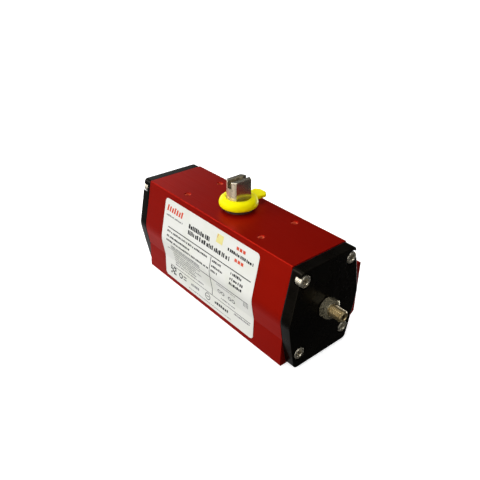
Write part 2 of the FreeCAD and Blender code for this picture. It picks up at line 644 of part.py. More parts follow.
def build_yoke():
    """A plate with two open slots, drawn with its slots along its own X and turned to the rest angle."""
    body = new_body("yoke", YOKE_REST_ANGLE)
    quarter = [(d.yoke_reach, d.yoke_tip_half), (d.yoke_shoulder, d.yoke_half_width)]
    outline = quarter + [(-x, y) for x, y in reversed(quarter)]
    outline += [(-x, -y) for x, y in quarter] + [(x, -y) for x, y in reversed(quarter)]
    plate = new_sketch(body, "XY_Plane", out=d.yoke_bottom)
    draw_outline(plate, outline)
    pad(body, plate, d.yoke_thickness)
    hub = new_sketch(body, "XY_Plane", out=d.yoke_bottom)
    draw_circle(hub, 0.0, 0.0, d.yoke_hub_radius)
    pad(body, hub, d.yoke_thickness)
    slot_ends = new_sketch(body, "XY_Plane")
    slot_ways = new_sketch(body, "XY_Plane")
    for side in (1, -1):
        draw_circle(slot_ends, d.yoke_slot_start * side, 0.0, d.yoke_slot_half)
        outside = (d.yoke_reach + d.tool_overrun) * side
        draw_outline(slot_ways, box_points(d.yoke_slot_start * side, outside,
                                           -d.yoke_slot_half, d.yoke_slot_half))
    pocket(body, slot_ends)
    pocket(body, slot_ways)
    sleeve = new_sketch(body, "XY_Plane", out=d.journal_top)
    draw_circle(sleeve, 0.0, 0.0, d.yoke_sleeve_radius)
    pad(body, sleeve, d.yoke_sleeve_top - d.journal_top)
    bore = new_sketch(body, "XY_Plane")
    draw_circle(bore, 0.0, 0.0, d.stem_radius)
    pocket(body, bore)
    cross = new_sketch(body, "XZ_Plane")
    draw_circle(cross, 0.0, d.bore_axis, d.yoke_pin_radius)
    pocket(body, cross)


def build_yoke_pin():
    body = new_body("yoke_pin", YOKE_REST_ANGLE)
    sketch = new_sketch(body, "XZ_Plane")
    draw_circle(sketch, 0.0, d.bore_axis, d.yoke_pin_radius)
    pad(body, sketch, d.yoke_pin_half_length * 2, both_sides=True)


def build_shaft_rings():
    gap = d.running_gap
    ring("upper_bearing", d.stem_radius + gap, d.upper_seat_radius,
         d.upper_bearing_bottom, d.upper_lip_start)
    ring("lower_bearing", d.journal_radius + gap, d.lower_seat_radius,
         d.lower_lip_height, d.lower_bearing_top)
    seal_ring("upper_shaft_seal", d.upper_seal_mid_radius, d.shaft_seal_section, d.upper_seal_height)
    seal_ring("lower_shaft_seal", d.lower_seal_mid_radius, d.shaft_seal_section, d.lower_seal_height)
    ring("inner_thrust_washer", d.stem_radius + d.washer_gap, d.washer_radius,
         d.spot_face_height - d.washer_thickness, d.spot_face_height)
    washer_bottom = d.housing_height + d.washer_gap
    ring("outer_thrust_washer", d.stem_radius, d.outer_washer_radius,
         washer_bottom, washer_bottom + d.washer_thickness)


def build_retaining_ring():
    """An external ring, thickest opposite its gap, with a plier hole in each lug."""
    body = new_body("retaining_ring")
    blank = new_sketch(body, "XY_Plane", out=d.clip_groove_bottom)
    draw_circle(blank, 0.0, d.clip_offset, d.clip_outer_radius)
    pad(body, blank, d.clip_thickness)
    lugs = new_sketch(body, "XY_Plane", out=d.clip_groove_bottom)
    for side in (1, -1):
        draw_circle(lugs, d.clip_lug_side * side, -d.clip_lug_reach, d.clip_lug_radius)
    pad(body, lugs, d.clip_thickness)
    inside = new_sketch(body, "XY_Plane")
    draw_circle(inside, 0.0, 0.0, d.clip_groove_radius)
    pocket(body, inside)
    gap = new_sketch(body, "XY_Plane")
    beyond = -d.clip_lug_reach - d.clip_lug_radius
    draw_outline(gap, box_points(-d.clip_gap_half, d.clip_gap_half, beyond, 0.0))
    pocket(body, gap)
    plier_holes = new_sketch(body, "XY_Plane")
    for side in (1, -1):
        draw_circle(plier_holes, d.clip_hole_side * side, -d.clip_lug_reach, d.clip_lug_hole)
    pocket(body, plier_holes)


def build_position_indicator():
    """A moulded ring with a fan-shaped pointer along +Y, and ribs inside that bear on the shaft's flats."""
    body = new_body("position_indicator")
    pointer = new_sketch(body, "XY_Plane", out=d.pointer_bottom)
    half = [(d.pointer_root_half, d.pointer_root), (d.pointer_half, d.pointer_shoulder),
            (d.pointer_tip_half, d.pointer_tip)]
    draw_outline(pointer, half + [(-x, y) for x, y in reversed(half)])
    pad(body, pointer, d.pointer_top - d.pointer_bottom)
    tip_corners = [(x.value * side, y.value) for x, y in half[1:] for side in (1, -1)]
    dress(body, "Fillet", "Radius", d.pointer_corner, straight_at(tip_corners, "z"))
    dress(body, "Fillet", "Radius", d.pointer_round, both(
        either(in_plane("z", d.pointer_bottom.value), in_plane("z", d.pointer_top.value)),
        lambda edge: edge.BoundBox.YLength > NEAR or edge.BoundBox.YMax > d.pointer_shoulder.value))
    section = new_sketch(body, "XZ_Plane")
    draw_rounded_box(section, d.ring_bore, d.ring_radius, d.ring_bottom, d.ring_top,
                     (0, d.ring_low_round, d.ring_high_round, d.ring_inner_round))
    turned(body, section, "V_Axis")
    ribs = new_sketch(body, "XY_Plane", out=d.ring_bottom)
    rib_start = d.flats_width / 2 + d.rib_gap
    for side in (1, -1):
        draw_outline(ribs, box_points(rib_start * side, d.rib_end * side, -d.rib_half, d.rib_half))
    pad(body, ribs, d.rib_height)


# ---------------------------------------------------------------- pistons

def build_piston(side, turn):
    """A piston head with a forked arm that reaches past the shaft to carry its roller pin."""
    body = new_body(f"piston_{side}", turn)
    profile = new_sketch(body, "XZ_Plane", up=d.bore_axis)
    recess = d.piston_outer - d.piston_recess_depth
    draw_outline(profile, [
        (d.piston_inner, 0.0), (d.piston_inner, d.piston_radius), (d.band_groove_start, d.piston_radius),
        (d.band_groove_start, d.band_groove_radius), (d.band_groove_end, d.band_groove_radius),
        (d.band_groove_end, d.piston_radius), (d.seal_groove_start, d.piston_radius),
        (d.seal_groove_start, d.seal_groove_radius), (d.seal_groove_end, d.seal_groove_radius),
        (d.seal_groove_end, d.piston_radius), (d.piston_outer, d.piston_radius),
        (d.piston_outer, d.piston_recess_radius), (recess, d.piston_recess_radius),
        (recess, d.piston_boss_radius), (d.piston_outer, d.piston_boss_radius), (d.piston_outer, 0.0)])
    turned(body, profile, "H_Axis")
    arm = new_sketch(body, "XY_Plane", out=d.arm_bottom)
    tip = pin_x - d.arm_tip
    draw_outline(arm, box_points(tip, d.piston_inner + d.arm_overlap, -d.arm_outer, -d.arm_inner))
    pad(body, arm, d.arm_top - d.arm_bottom)
    tip_corners = [(tip.value, -d.arm_outer.value), (tip.value, -d.arm_inner.value)]
    dress(body, "Fillet", "Radius", d.arm_corner_radius, straight_at(tip_corners, "z"))
    fork = new_sketch(body, "XY_Plane", out=d.arm_gap_bottom)
    over = d.tool_overrun
    draw_outline(fork, box_points(tip - over, d.piston_inner, -d.arm_outer - over, -d.arm_inner + over))
    pocket(body, fork, d.arm_gap_top - d.arm_gap_bottom, along_normal=True)
    pin_hole = new_sketch(body, "XY_Plane")
    draw_circle(pin_hole, pin_x, -d.pin_offset, d.piston_pin_radius)
    pocket(body, pin_hole)


def build_piston_rings(side, turn):
    band = new_body(f"guide_band_{side}", turn)
    section = new_sketch(band, "XZ_Plane", up=d.bore_axis)
    draw_outline(section, box_points(d.band_groove_start, d.band_groove_end,
                                     d.band_groove_radius, d.band_radius))
    turned(band, section, "H_Axis")
    seal = new_body(f"piston_seal_{side}", turn)
    section = new_sketch(seal, "XZ_Plane", up=d.bore_axis)
    middle = (d.seal_groove_start + d.seal_groove_end) / 2
    draw_circle(section, middle, d.seal_mid_radius, d.seal_section)
    turned(seal, section, "H_Axis")


def build_piston_pin(side, turn):
    body = new_body(f"piston_pin_{side}", turn)
    sketch = new_sketch(body, "XY_Plane", out=d.arm_bottom)
    draw_circle(sketch, pin_x, -d.pin_offset, d.piston_pin_radius)
    pad(body, sketch, d.arm_top - d.arm_bottom)
    dress(body, "Chamfer", "Size", d.piston_pin_edge,
          either(in_plane("z", d.arm_bottom.value), in_plane("z", d.arm_top.value)))


def build_roller(side, turn):
    body = new_body(f"roller_{side}", turn)
    sketch = new_sketch(body, "XY_Plane", out=d.yoke_bottom)
    draw_circle(sketch, pin_x, -d.pin_offset, d.roller_radius)
    draw_circle(sketch, pin_x, -d.pin_offset, d.piston_pin_radius + d.running_gap)
    pad(body, sketch, d.yoke_thickness)


# ---------------------------------------------------------------- name plate

def rounded_chain(points, radii):
    """Straight runs through the points, with an arc of the given radius at each inner point."""
    edges = []
    start = points[0]
    for before, corner, after, radius in zip(points, points[1:], points[2:], radii):
        to_before = (before - corner).normalize()
        to_after = (after - corner).normalize()
        half_turn = (math.pi - to_before.getAngle(to_after)) / 2
        reach = radius * math.tan(half_turn)
        first = corner + to_before * reach
        last = corner + to_after * reach
        inward = (to_before + to_after).normalize()
        centre = corner + inward * (radius / math.cos(half_turn))
        edges.append(Part.LineSegment(start, first).toShape())
        edges.append(Part.Arc(first, centre - inward * radius, last).toShape())
        start = last
    edges.append(Part.LineSegment(start, points[-1]).toShape())
    return edges


def shifted_chain(points, distance):
    """The same chain of straight runs, moved outwards (towards -Y) by a distance."""
    normals = []
    for a, b in zip(points, points[1:]):
        run = (b - a).normalize()
        normals.append(Vector(0, -abs(run.z), run.y * math.copysign(1, run.z)))
    shifted = [points[0] + normals[0] * distance]
    for corner, one, two in zip(points[1:-1], normals, normals[1:]):
        middle = (one + two).normalize()
        shifted.append(corner + middle * (distance / middle.dot(one)))
    shifted.append(points[-1] + normals[-1] * distance)
    return shifted


def build_name_plate():
    """A thin sheet that follows the near side over its belly and into its crease."""
    near_side = [Vector(0, -d.top_half_width.value, d.housing_height.value),
                 Vector(0, -d.belly_half_width.value, d.belly_height.value),
                 Vector(0, -d.crease_half_width.value, d.crease_height.value),
                 Vector(0, -d.base_half_width.value, 0)]
    thickness = d.plate_thickness.value
    outside = shifted_chain(near_side, thickness)
    inner = rounded_chain(near_side, [d.belly_radius.value, d.crease_radius.value])
    outer = rounded_chain(outside, [d.belly_radius.value + thickness, d.crease_radius.value - thickness])
    caps = [Part.LineSegment(near_side[0], outside[0]).toShape(),
            Part.LineSegment(near_side[-1], outside[-1]).toShape()]
    band = Part.Face(Part.Wire(Part.__sortEdges__(inner + outer + caps)))
    start, end = d.plate_start.value, d.plate_end.value
    band.translate(Vector(start, 0, 0))
    sheet = band.extrude(Vector(end - start, 0, 0))

    low, high = d.plate_low.value, d.plate_high.value
    window = Part.makeBox(end - start, 2 * d.belly_half_width.value, high - low,
                          Vector(start, -2 * d.belly_half_width.value, low))
    corners = [edge for edge in window.Edges if edge.BoundBox.YLength > NEAR]
    window = window.makeFillet(d.plate_corner.value, corners)
    plate = doc.addObject("Part::Feature", "name_plate")
    plate.Label = "name_plate"
    plate.Shape = sheet.common(window)
    plate.Placement = FreeCAD.Placement()
    NODES.append(plate)


# ---------------------------------------------------------------- the whole unit

build_housing()
for side, turn in (("right", 0.0), ("left", 180.0)):
    for build in (build_cap, build_gasket, build_cap_screws, build_stop_screw, build_stop_nut,
                  build_stop_seal, build_piston, build_piston_rings, build_piston_pin, build_roller):
        build(side, turn)
build_drive_shaft()
build_yoke()
build_yoke_pin()
build_shaft_rings()
build_retaining_ring()
build_position_indicator()
build_name_plate()
doc.recompute()

for item in doc.Objects:
    if "Invalid" in item.State or "Error" in item.State:
        raise RuntimeError(f"{item.Label} is in state {item.State}")
for node in NODES:
    if node.Shape.isNull() or not node.Shape.isValid() or not node.Shape.Solids:
        raise RuntimeError(f"{node.Label} has no valid solid")

os.makedirs("parts", exist_ok=True)
for node in NODES:
    node.Shape.exportStep(f"parts/{node.Label}.step")
    box = node.Shape.BoundBox
    spans = [f"{low:8.2f} {high:7.2f}" for low, high in (
        (box.XMin, box.XMax), (box.YMin, box.YMax), (box.ZMin, box.ZMax))]
    print(f"{node.Label:22s} solids {len(node.Shape.Solids)} volume {node.Shape.Volume:10.1f}", *spans)
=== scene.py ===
import json
import math
import random

import bmesh
import bpy
from mathutils import Matrix, Vector
from mathutils.bvhtree import BVHTree


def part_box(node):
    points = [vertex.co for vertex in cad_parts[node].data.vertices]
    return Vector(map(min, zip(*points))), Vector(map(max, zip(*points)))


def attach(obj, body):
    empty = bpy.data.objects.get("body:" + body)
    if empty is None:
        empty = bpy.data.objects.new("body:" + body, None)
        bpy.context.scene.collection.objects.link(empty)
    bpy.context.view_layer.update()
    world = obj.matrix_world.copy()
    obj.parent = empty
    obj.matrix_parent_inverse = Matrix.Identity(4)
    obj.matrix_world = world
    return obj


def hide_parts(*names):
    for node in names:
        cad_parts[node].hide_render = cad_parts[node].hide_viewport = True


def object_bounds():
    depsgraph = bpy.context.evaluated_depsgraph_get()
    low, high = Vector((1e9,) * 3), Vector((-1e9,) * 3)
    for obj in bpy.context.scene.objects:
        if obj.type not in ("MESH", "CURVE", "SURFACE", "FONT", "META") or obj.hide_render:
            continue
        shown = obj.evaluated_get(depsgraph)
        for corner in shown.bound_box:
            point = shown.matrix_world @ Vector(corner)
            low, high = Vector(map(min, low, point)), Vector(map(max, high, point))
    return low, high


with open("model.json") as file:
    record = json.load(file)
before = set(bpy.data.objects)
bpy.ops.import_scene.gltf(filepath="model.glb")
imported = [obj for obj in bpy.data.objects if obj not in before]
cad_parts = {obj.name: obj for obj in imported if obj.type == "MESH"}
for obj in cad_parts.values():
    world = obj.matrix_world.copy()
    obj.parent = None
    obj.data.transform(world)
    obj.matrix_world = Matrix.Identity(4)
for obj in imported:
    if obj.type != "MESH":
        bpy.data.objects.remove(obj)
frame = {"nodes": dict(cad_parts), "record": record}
cad_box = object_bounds()

MM = 0.001
NODES = frame["nodes"]
BODIES = frame["record"]["behaviour"]["bodies"]
BODY_OF = {node: body for body, members in BODIES.items() for node in members}
SLOT_OF = {entry["node"]: entry["material_slot"] for entry in frame["record"]["subparts"]}
TOP_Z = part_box("housing")[1].z
SIDES = {"right": 1.0, "left": -1.0}


# ---------------------------------------------------------------- camera, light and floor

# The camera's direction, and how far it stands off the middle of the housing's top face.
CAMERA_AZIMUTH = math.radians(49.56)
CAMERA_ELEVATION = math.radians(30.58)
CAMERA_ROLL = math.radians(0.69)
CAMERA_OFFSET = Vector((0.99, -22.64, 369.87)) * MM
CAMERA_LENS = 39.69

# The tent of light round the object, dim but for these glows: a direction, the cosines of the angle to it
# between which the glow rises, and its strength.
TENT_GLOWS = (
    ((0.0, 0.0, 1.0), 0.65, 1.0, 0.6),  # overhead
    ((0.0, -0.97, 0.25), 0.70, 0.95, 2.2),  # on the name plate's side
    ((-0.85, 0.0, -0.50), 0.72, 1.0, 0.9),  # low on the left, mirrored by the name plate's side
    ((-0.95, 0.25, 0.15), 0.86, 1.0, 1.3),  # on the left, mirrored by the left end of the top
    ((-0.25, 0.93, -0.30), 0.87, 0.98, 4.0),  # behind, on the port pad
    ((0.95, 0.10, 0.30), 0.965, 0.995, 5.0),  # a small one on the right, for the edges of screws and nut
)
TENT_BASE_GLOW = 0.03


def camera_axes(azimuth, elevation, roll):
    """Right, up and backward directions of a camera that looks from an azimuth and an elevation."""
    back = Vector((math.sin(azimuth) * math.cos(elevation), -math.cos(azimuth) * math.cos(elevation),
                   math.sin(elevation)))
    right = Vector((0, 0, 1)).cross(back).normalized()
    up = back.cross(right)
    turned_right = right * math.cos(roll) + up * math.sin(roll)
    turned_up = up * math.cos(roll) - right * math.sin(roll)
    return turned_right, turned_up, back


def add_camera():
    """The camera, turned and placed as the constants above say."""
    right, up, back = camera_axes(CAMERA_AZIMUTH, CAMERA_ELEVATION, CAMERA_ROLL)
    offset = right * CAMERA_OFFSET.x + up * CAMERA_OFFSET.y + back * CAMERA_OFFSET.z
    data = bpy.data.cameras.new("camera")
    data.lens = CAMERA_LENS
    data.sensor_width = 36.0
    data.clip_start = 0.01
    camera = bpy.data.objects.new("camera", data)
    bpy.context.scene.collection.objects.link(camera)
    camera.matrix_world = Matrix((right, up, back)).transposed().to_4x4()
    camera.matrix_world.translation = Vector((0, 0, TOP_Z)) + offset
    bpy.context.scene.camera = camera


def add_sun(name, direction, power, angle):
    """A wide, soft sun that shines from the given direction, of the given width in degrees."""
    data = bpy.data.lights.new(name, "SUN")
    data.energy = power
    data.angle = math.radians(angle)
    sun = bpy.data.objects.new(name, data)
    bpy.context.scene.collection.objects.link(sun)
    towards = Vector(direction).normalized()
    sun.location = towards + Vector((0, 0, TOP_Z / 2))
    sun.rotation_euler = (-towards).to_track_quat("-Z", "Y").to_euler()


def add_suns():
    add_sun("key", (-0.66, -0.60, 0.45), 1.2, 30)
    add_sun("overhead", (-0.1, -0.05, 1.0), 1.12, 60)


def add_tent():
    """The world's glow by direction, from the world's own direction vector."""
    world = bpy.data.worlds.new("light_tent")
    bpy.context.scene.world = world
    world.use_nodes = True
    tree = world.node_tree
    direction = tree.nodes.new("ShaderNodeTexCoord").outputs["Generated"]
    total = None
    for facing, start, end, glow in TENT_GLOWS:
        lean = tree.nodes.new("ShaderNodeVectorMath")
        lean.operation = "DOT_PRODUCT"
        tree.links.new(direction, lean.inputs[0])
        lean.inputs[1].default_value = Vector(facing).normalized()
        part = tree.nodes.new("ShaderNodeMapRange")
        part.interpolation_type = "SMOOTHSTEP"
        tree.links.new(lean.outputs["Value"], part.inputs["Value"])
        part.inputs["From Min"].default_value = start
        part.inputs["From Max"].default_value = end
        part.inputs["To Max"].default_value = glow
        add = tree.nodes.new("ShaderNodeMath")
        tree.links.new(part.outputs[0], add.inputs[0])
        if total is None:
            add.inputs[1].default_value = TENT_BASE_GLOW
        else:
            tree.links.new(total, add.inputs[1])
        total = add.outputs[0]
    background = tree.nodes["Background"]
    background.inputs["Color"].default_value = (1.0, 1.0, 1.0, 1.0)
    tree.links.new(total, background.inputs["Strength"])


# The floor and the wall round it, in metres.
FLOOR_HALF = 4.0
FLOOR_GLOW = 0.7
WALL_RADIUS = 3.9
WALL_HEIGHT = 6.0
WALL_SIDES = 64
WALL_GLOW = 1.0


def add_stage(name, points, faces, glow):
    """White paper that the camera sees, but that neither lights the object nor shows in its gloss."""
    mesh = bpy.data.meshes.new(name)
    mesh.from_pydata(points, [], faces)
    stage = bpy.data.objects.new(name, mesh)
    bpy.context.scene.collection.objects.link(stage)
    stage.visible_glossy = False
    stage.visible_diffuse = False
    stage.visible_shadow = False
    shader = Shader(f"{name}_paper")
    mottle = shader.noise(6.0, 2.0)
    shader.link(shader.blend(mottle, (0.75, 0.75, 0.75), (0.77, 0.77, 0.77)), "Base Color")
    shader.set("Roughness", 0.95)
    shader.set("Specular IOR Level", 0.0)
    shader.set("Emission Color", (1.0, 1.0, 1.0, 1.0))
    shader.set("Emission Strength", glow)
    mesh.materials.append(shader.material)


def add_floor():
    half = FLOOR_HALF
    z = cad_box[0][2]
    corners = [(-half, -half, z), (half, -half, z), (half, half, z), (-half, half, z)]
    add_stage("floor", corners, [(0, 1, 2, 3)], FLOOR_GLOW)


def add_backdrop():
    """A white wall round the floor, so that a low view meets no edge."""
    low = cad_box[0][2]
    points = []
    for angle in turns(WALL_SIDES):
        for z in (low, low + WALL_HEIGHT):
            points.append((WALL_RADIUS * math.cos(angle), WALL_RADIUS * math.sin(angle), z))
    faces = []
    for near in range(0, len(points), 2):
        far = (near + 2) % len(points)
        faces.append((near, near + 1, far + 1, far))
    add_stage("backdrop", points, faces, WALL_GLOW)


# ---------------------------------------------------------------- materials

class Shader:
    """One Principled material and the procedural nodes that feed it, in the piece's own coordinates."""

    def __init__(self, name):
        self.material = bpy.data.materials.new(name)
        self.material.use_nodes = True
        self.tree = self.material.node_tree
        self.principled = self.tree.nodes["Principled BSDF"]
        self.coordinates = self.tree.nodes.new("ShaderNodeTexCoord").outputs["Object"]

    def set(self, socket, value):
        self.principled.inputs[socket].default_value = value

    def link(self, source, socket):
        self.tree.links.new(source, self.principled.inputs[socket])

    def node(self, kind, inputs=None, **settings):
        node = self.tree.nodes.new(kind)
        for key, value in settings.items():
            setattr(node, key, value)
        for key, value in (inputs or {}).items():
            if isinstance(value, bpy.types.NodeSocket):
                self.tree.links.new(value, node.inputs[key])
            else:
                node.inputs[key].default_value = value
        return node

    def noise(self, scale, detail, stretch=(1.0, 1.0, 1.0), distortion=0.0):
        mapping = self.node("ShaderNodeMapping", {"Vector": self.coordinates, "Scale": stretch})
        inputs = {"Vector": mapping.outputs[0], "Scale": scale, "Detail": detail,
                  "Distortion": distortion}
        return self.node("ShaderNodeTexNoise", inputs).outputs["Fac"]

    def span(self, value, low, high, from_low=0.3, from_high=0.7):
        """A value from about from_low to from_high, spread over low to high."""
        inputs = {"Value": value, "From Min": from_low, "From Max": from_high,
                  "To Min": low, "To Max": high}
        return self.node("ShaderNodeMapRange", inputs).outputs[0]

    def blend(self, factor, first, second):
        node = self.node("ShaderNodeMix", data_type="RGBA")
        self.tree.links.new(factor, node.inputs[0])
        # a Mix node's sockets 6 and 7 are its two colours
        for index, colour in ((6, first), (7, second)):
            if isinstance(colour, bpy.types.NodeSocket):
                self.tree.links.new(colour, node.inputs[index])
            else:
                node.inputs[index].default_value = (*colour, 1.0)
        return node.outputs[2]

    def bump(self, height, distance, strength, onto=None):
        node = self.node("ShaderNodeBump", {"Height": height, "Distance": distance, "Strength": strength})
        if onto is not None:
            self.tree.links.new(onto, node.inputs["Normal"])
        return node.outputs[0]


def anodised_red():
    """Dyed, satin-anodised extrusion: die lines along X, a fine etched grain and a cloudy tint."""
    shader = Shader("anodised_red")
    cloud = shader.span(shader.noise(14.0, 4.0), 0.0, 1.0)
    shader.link(shader.blend(cloud, (0.31, 0.004, 0.001), (0.37, 0.006, 0.001)), "Base Color")
    shader.set("Metallic", 0.55)
    shader.set("Specular IOR Level", 0.28)
    shader.set("Specular Tint", (1.0, 0.30, 0.15, 1.0))
    streaks = shader.noise(1.0, 2.0, stretch=(8.0, 2500.0, 2500.0))
    grain = shader.noise(5200.0, 2.0)
    shader.link(shader.span(streaks, 0.30, 0.42), "Roughness")
    fine = shader.bump(grain, 0.000006, 0.6)
    shader.link(shader.bump(streaks, 0.000012, 0.5, onto=fine), "Normal")
    return shader.material


def cap_black():
    """Smooth glossy black coating over a casting, with a faint orange peel."""
    shader = Shader("cap_black")
    cloud = shader.span(shader.noise(40.0, 4.0), 0.0, 1.0)
    shader.link(shader.blend(cloud, (0.0012, 0.0010, 0.0008), (0.0032, 0.0026, 0.0018)), "Base Color")
    shader.set("Specular IOR Level", 0.08)
    shader.set("Specular Tint", (1.0, 0.85, 0.60, 1.0))
    shader.link(shader.span(shader.noise(90.0, 5.0), 0.22, 0.34), "Roughness")
    shader.link(shader.bump(shader.noise(420.0, 2.0), 0.00002, 0.25), "Normal")
    return shader.material


def machined_metal(name, dark, light, roughness, streak, metallic):
    """Turned, milled or stamped metal: fine tool marks, uneven sheen and a slightly cloudy tint."""
    shader = Shader(name)
    cloud = shader.span(shader.noise(160.0, 4.0), 0.0, 1.0)
    shader.link(shader.blend(cloud, dark, light), "Base Color")
    shader.set("Metallic", metallic)
    marks = shader.noise(2600.0, 3.0, stretch=streak)
    smudge = shader.noise(220.0, 5.0, distortion=1.2)
    both = shader.node("ShaderNodeMath", {0: marks, 1: smudge}, operation="MULTIPLY").outputs[0]
    shader.link(shader.span(both, roughness[0], roughness[1], 0.1, 0.45), "Roughness")
    shader.link(shader.bump(marks, 0.0000006, 0.6), "Normal")
    return shader.material


def moulded(name, dark, light, roughness, soft=0.0):
    """Moulded plastic, rubber, ink, or the painted highlight in the top tapped holes: a fine grain,
    cloudy colour and uneven gloss.
    """
    shader = Shader(name)
    shader.set("Specular IOR Level", 0.3)
    shader.set("Specular Tint", (*light, 1.0))
    shader.link(shader.blend(shader.span(shader.noise(60.0, 4.0), 0.0, 1.0), dark, light), "Base Color")
    shader.link(shader.span(shader.noise(140.0, 4.0), roughness[0], roughness[1]), "Roughness")
    shader.link(shader.bump(shader.noise(2400.0, 2.0), 0.000012, 0.5), "Normal")
    if soft:
        shader.set("Subsurface Weight", soft)
        shader.set("Subsurface Radius", (1.0, 0.6, 0.1))
        shader.set("Subsurface Scale", 0.002)
    return shader.material


def plate_film():
    """Off-white printed film, a little yellowed in patches and scuffed."""
    shader = Shader("plate_film")
    stain = shader.span(shader.noise(55.0, 4.0), 0.0, 1.0, 0.45, 0.75)
    shader.link(shader.blend(stain, (0.76, 0.76, 0.715), (0.71, 0.715, 0.635)), "Base Color")
    shader.set("Specular IOR Level", 0.3)
    shader.link(shader.span(shader.noise(300.0, 4.0), 0.38, 0.52), "Roughness")
    shader.link(shader.bump(shader.noise(700.0, 3.0), 0.00001, 0.4), "Normal")
    return shader.material


# How tool marks are stretched: along the bore's axis, or into rings round the shaft's.
ALONG_X = (0.02, 1.0, 1.0)
ROUND_Z = (0.05, 0.05, 1.0)

# Metals: dark and light colour, span of roughness, tool marks, and how metallic the satin surface is.
METALS = {
    "screw_steel": ((0.50, 0.45, 0.35), (0.62, 0.57, 0.45), (0.22, 0.34), ROUND_Z, 0.78),
    "stop_steel": ((0.38, 0.29, 0.14), (0.50, 0.40, 0.22), (0.26, 0.40), ROUND_Z, 0.85),
    "nut_steel": ((0.54, 0.48, 0.31), (0.66, 0.59, 0.41), (0.17, 0.25), ROUND_Z, 0.84),
    "shaft_steel": ((0.56, 0.50, 0.38), (0.66, 0.60, 0.47), (0.16, 0.28), ROUND_Z, 0.93),
    # the turned finish is lighter and less metallic than shaft_steel: partly a real turned finish, partly
    # painted light for the lit side of the shaft
    "shaft_turned_painted_lit": ((0.68, 0.56, 0.40), (0.78, 0.66, 0.49), (0.24, 0.36), ROUND_Z, 0.68),
    "yoke_steel": ((0.26, 0.25, 0.24), (0.38, 0.37, 0.36), (0.25, 0.45), ROUND_Z, 0.65),
    "spring_steel": ((0.07, 0.065, 0.06), (0.12, 0.11, 0.10), (0.35, 0.52), ROUND_Z, 0.65),
    "piston_alloy": ((0.58, 0.58, 0.60), (0.70, 0.70, 0.71), (0.25, 0.40), ALONG_X, 0.65),
    "roller_steel": ((0.50, 0.50, 0.50), (0.62, 0.62, 0.62), (0.12, 0.24), ROUND_Z, 0.65),
    # washer_steel is darkened nearly to black: painted shade, for the shade under the indicator ring
    # where the washers show
    "washer_steel": ((0.07, 0.055, 0.045), (0.11, 0.09, 0.07), (0.42, 0.58), ROUND_Z, 0.65),
}

# Plastics, rubber, a painted highlight for the lit far walls of the top tapped holes, and ink: dark and
# light colour, span of roughness.
MOULDED = {
    "hole_wall_painted_highlight": ((0.70, 0.10, 0.045), (0.80, 0.14, 0.065), (0.30, 0.45)),
    "bearing_polymer": ((0.68, 0.64, 0.52), (0.76, 0.73, 0.62), (0.45, 0.60)),
    "band_polymer": ((0.08, 0.07, 0.06), (0.12, 0.10, 0.09), (0.40, 0.55)),
    "seal_rubber": ((0.012, 0.012, 0.012), (0.022, 0.022, 0.022), (0.45, 0.62)),
    "print_black": ((0.018, 0.018, 0.020), (0.035, 0.034, 0.036), (0.40, 0.55)),
    "print_grey": ((0.20, 0.20, 0.20), (0.26, 0.26, 0.25), (0.40, 0.55)),
    "print_red": ((0.60, 0.065, 0.030), (0.66, 0.090, 0.045), (0.40, 0.55)),
    "print_yellow": ((0.74, 0.66, 0.24), (0.80, 0.73, 0.33), (0.45, 0.60)),
}


def make_materials():
    made = {"anodised_red": anodised_red(), "cap_black": cap_black(), "plate_film": plate_film()}
    for name, values in METALS.items():
        made[name] = machined_metal(name, *values)
    for name, values in MOULDED.items():
        made[name] = moulded(name, *values)
    yellow = ((0.86, 0.79, 0.001), (0.92, 0.86, 0.002), (0.34, 0.46))
    made["indicator_yellow"] = moulded("indicator_yellow", *yellow, soft=0.1)
    return made


# ---------------------------------------------------------------- making pieces

SHARP_ANGLE = math.radians(32)


def finish_piece(name, mesh, material, body, replaced=()):
    """Put a mesh in the scene as a piece that rides on a body and may stand for CAD nodes."""
    mesh.materials.append(materials[material])
    mesh.shade_smooth()
    mesh.set_sharp_from_angle(angle=SHARP_ANGLE)
    piece = bpy.data.objects.new(name, mesh)
    bpy.context.scene.collection.objects.link(piece)
    # shade the flat faces flat, and only the narrow ones between them round
    normals = piece.modifiers.new("flat_faces", "WEIGHTED_NORMAL")
    normals.weight = 100
    normals.keep_sharp = True
    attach(piece, body)
    if replaced:
        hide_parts(*replaced)


def join_shapes(shapes):
    """One list of points and one of faces from several (points, faces) pairs."""
    points = []
    faces = []
    for more_points, more_faces in shapes:
        faces += [tuple(index + len(points) for index in face) for face in more_faces]
        points += more_points
    return points, faces


def solid_mesh(name, shapes):
    """A mesh of one or more closed shapes, with every face turned outwards."""
    mesh = bpy.data.meshes.new(name)
    points, faces = join_shapes(shapes)
    mesh.from_pydata(points, [], faces)
    work = bmesh.new()
    work.from_mesh(mesh)
    bmesh.ops.recalc_face_normals(work, faces=work.faces)
    work.to_mesh(mesh)
    work.free()
    return mesh


def skin(loops, joined=False):
    """A closed skin through loops of equal length: capped at both ends, or joined end to start."""
    count = len(loops[0])
    points = [point for loop in loops for point in loop]
    faces = []
    for ring in range(len(loops) if joined else len(loops) - 1):
        near = ring * count
        far = (near + count) % len(points)
        for index in range(count):
            following = (index + 1) % count
            faces.append((near + index, near + following, far + following, far + index))
    if not joined:
        faces.append(tuple(reversed(range(count))))
        faces.append(tuple(range(len(points) - count, len(points))))
    return points, faces


def turns(count):
    """The angles of a loop's points, once round."""
    return [2 * math.pi * step / count for step in range(count)]


def round_loop(radius, height, count, ripple=0.0, waves=0):
    """A circle at a height, or a knurled one where it ripples inwards in waves; loops are all in mm."""
    loop = []
    for angle in turns(count):
        reach = radius - ripple * (0.5 - 0.5 * math.cos(waves * angle))
        loop.append((reach * math.cos(angle), reach * math.sin(angle), height))
    return loop


